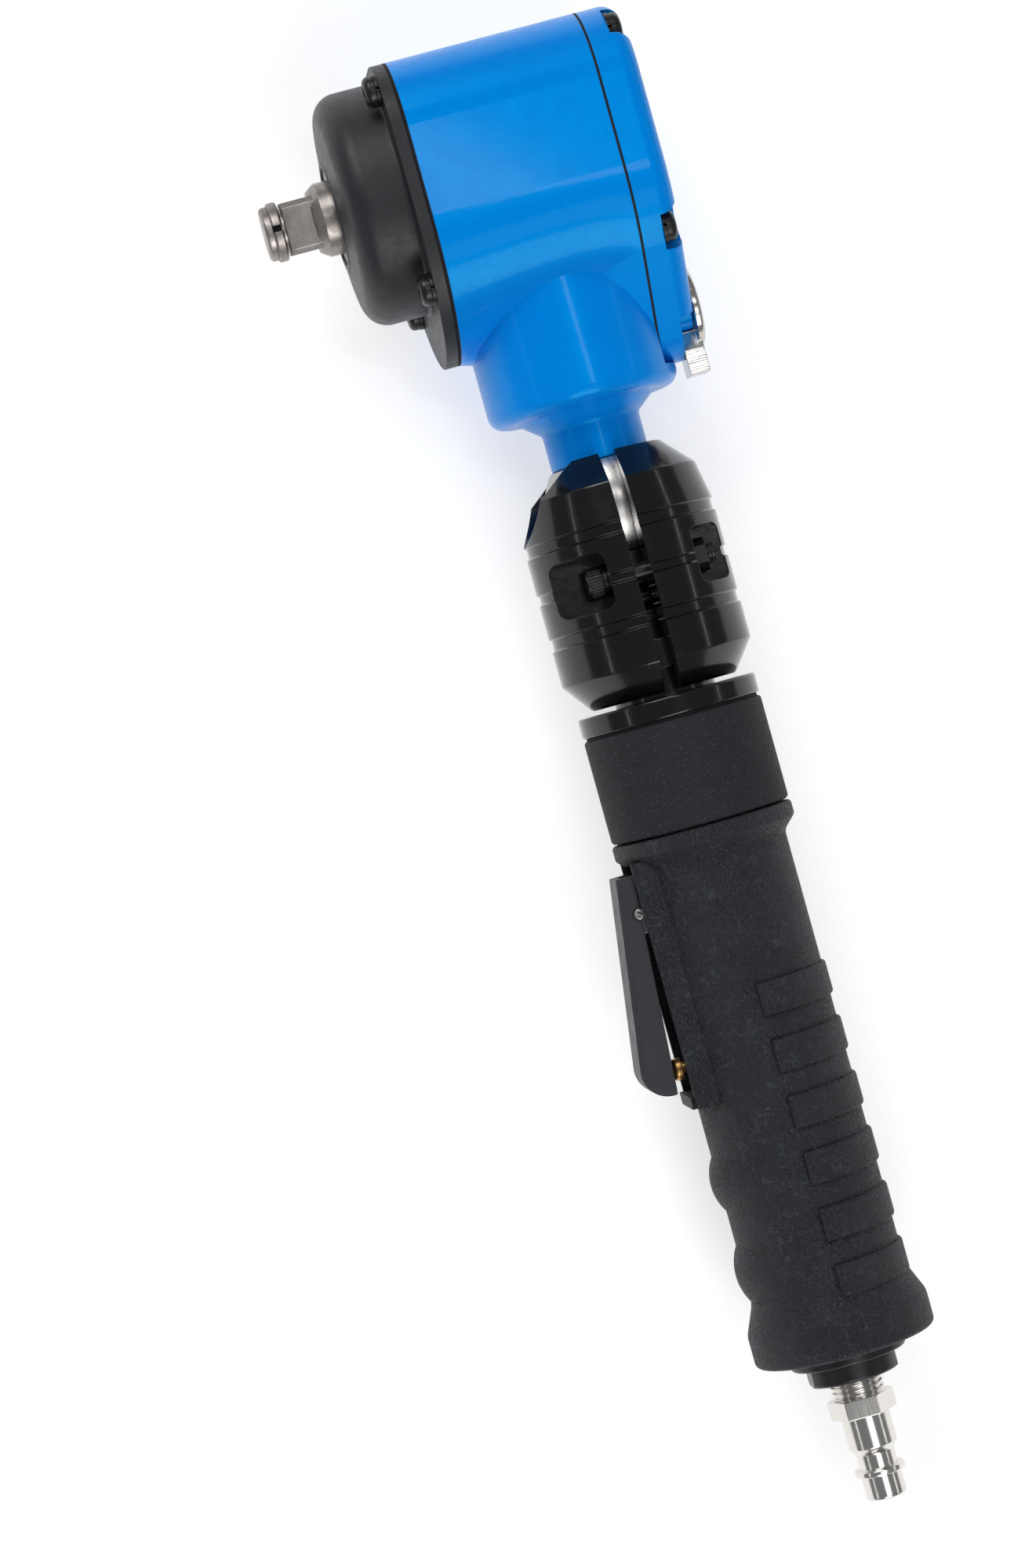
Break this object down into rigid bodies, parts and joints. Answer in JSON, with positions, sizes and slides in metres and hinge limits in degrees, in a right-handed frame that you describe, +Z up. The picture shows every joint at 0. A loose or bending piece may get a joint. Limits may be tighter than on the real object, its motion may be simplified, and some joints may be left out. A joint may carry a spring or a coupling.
{
  "type": "air impact wrench",
  "caption": "Compact air impact wrench: a short head with a square drive on a ball clamp that tilts and swivels, and a straight rubber handle with a throttle lever and an air plug.",
  "frame": {"origin": "centre of the square drive's end face", "axes": "+X along the handle towards the air plug, -Y the way the square drive points, +Z up as the tool lies on its side"},
  "size_m": [0.3619, 0.0955, 0.0646],
  "materials": {
    "blue_paint": "gloss blue paint over cast alloy",
    "case_black": "satin black coated steel",
    "gloss_black": "gloss black coated alloy",
    "speckle_black": "matt black, finely blasted",
    "grip_rubber": "moulded rubber with a leather grain",
    "lever_black": "satin black",
    "black_screw": "black oxide",
    "seal_black": "nitrile rubber",
    "steel": "ground steel",
    "anvil_steel": "dark burnished steel",
    "bronze": "turned",
    "cast_alloy": "turned casting",
    "vane_resin": "laminated resin",
    "felt": "felt",
    "bushing_black": "black anodised",
    "nickel": "bright nickel plate",
    "chrome": "bright chrome plate",
    "screen_mesh": "punched steel"
  },
  "bodies": {
    "handle": {"swivel_stem": "gloss_black", "collar_seal": "seal_black", "sleeve": "speckle_black", "silencer_felt": "felt", "handle_core": "cast_alloy", "grip": "grip_rubber", "lever_pin": "steel", "throttle_bush": "bronze", "valve_cap": "bronze", "valve_spring": "steel", "end_ring": "bushing_black", "inlet_bushing": "bushing_black", "inlet_screen": "screen_mesh", "air_plug": "nickel"},
    "clamp": {"front_clamp_shell": "gloss_black", "rear_clamp_shell": "gloss_black", "clamp_screws": "black_screw", "clamp_washers": "black_screw", "clamp_nuts": "black_screw", "ball_seat": "black_screw", "disc_springs": "black_screw", "thrust_washer": "black_screw"},
    "ball": {"head_ball": "steel", "neck_o_rings": "seal_black"},
    "head": {"hammer_case": "case_black", "anvil_bush": "bushing_black", "front_gasket": "seal_black", "motor_housing": "blue_paint", "rear_gasket": "seal_black", "rear_cover": "blue_paint", "front_screws": "black_screw", "front_washers": "black_screw", "rear_screws": "black_screw", "rear_washers": "black_screw", "front_end_plate": "cast_alloy", "motor_cylinder": "steel", "rear_end_plate": "cast_alloy", "front_bearing": "steel", "rear_bearing": "steel", "neck_snap_ring": "steel"},
    "motor": {"rotor": "steel", "rotor_vanes": "vane_resin", "hammer_cage": "steel", "hammer": "steel", "hammer_pins": "steel"},
    "drive": {"anvil": "anvil_steel", "ring_cushion": "seal_black", "friction_ring": "anvil_steel"},
    "selector": {"reverse_selector": "chrome"},
    "throttle": {"lever": "lever_black"},
    "valve": {"valve_spool": "bronze"}
  },
  "joints": [
    {"name": "clamp_swivel", "type": "hinge", "parent": "handle", "child": "clamp", "pos_m": [0.1216, 0.0634, 0], "axis": [1, 0, 0], "continuous": true},
    {"name": "head_tilt", "type": "hinge", "parent": "clamp", "child": "ball", "pos_m": [0.083, 0.0634, 0], "axis": [0, 0, 1], "range_deg": [-5, 60]},
    {"name": "head_swivel", "type": "hinge", "parent": "ball", "child": "head", "pos_m": [0.062, 0.0634, 0], "axis": [1, 0, 0], "continuous": true},
    {"name": "rotor_spin", "type": "hinge", "parent": "head", "child": "motor", "pos_m": [0, 0.07, 0], "axis": [0, 1, 0], "continuous": true},
    {"name": "anvil_spin", "type": "hinge", "parent": "head", "child": "drive", "pos_m": [0, 0.02, 0], "axis": [0, 1, 0], "continuous": true},
    {"name": "selector_turn", "type": "hinge", "parent": "head", "child": "selector", "pos_m": [0.0425, 0.09, 0], "axis": [0, 1, 0], "range_deg": [-30, 30]},
    {"name": "lever_press", "type": "hinge", "parent": "handle", "child": "throttle", "pos_m": [0.1801, 0.0424, 0], "axis": [0, 0, 1], "range_deg": [0, 7], "stiffness_Nm_per_rad": 1, "springref_deg": -11.46},
    {"name": "valve_slide", "type": "slide", "parent": "handle", "child": "valve", "axis": [0, 1, 0], "range_m": [0, 0.0047], "deforming": ["valve_spring"]}
  ],
  "couplings": [
    {"joint": "anvil_spin", "follows": "rotor_spin", "ratio": 1},
    {"joint": "valve_slide", "follows": "lever_press", "m_per_rad": 0.03822}
  ]
}
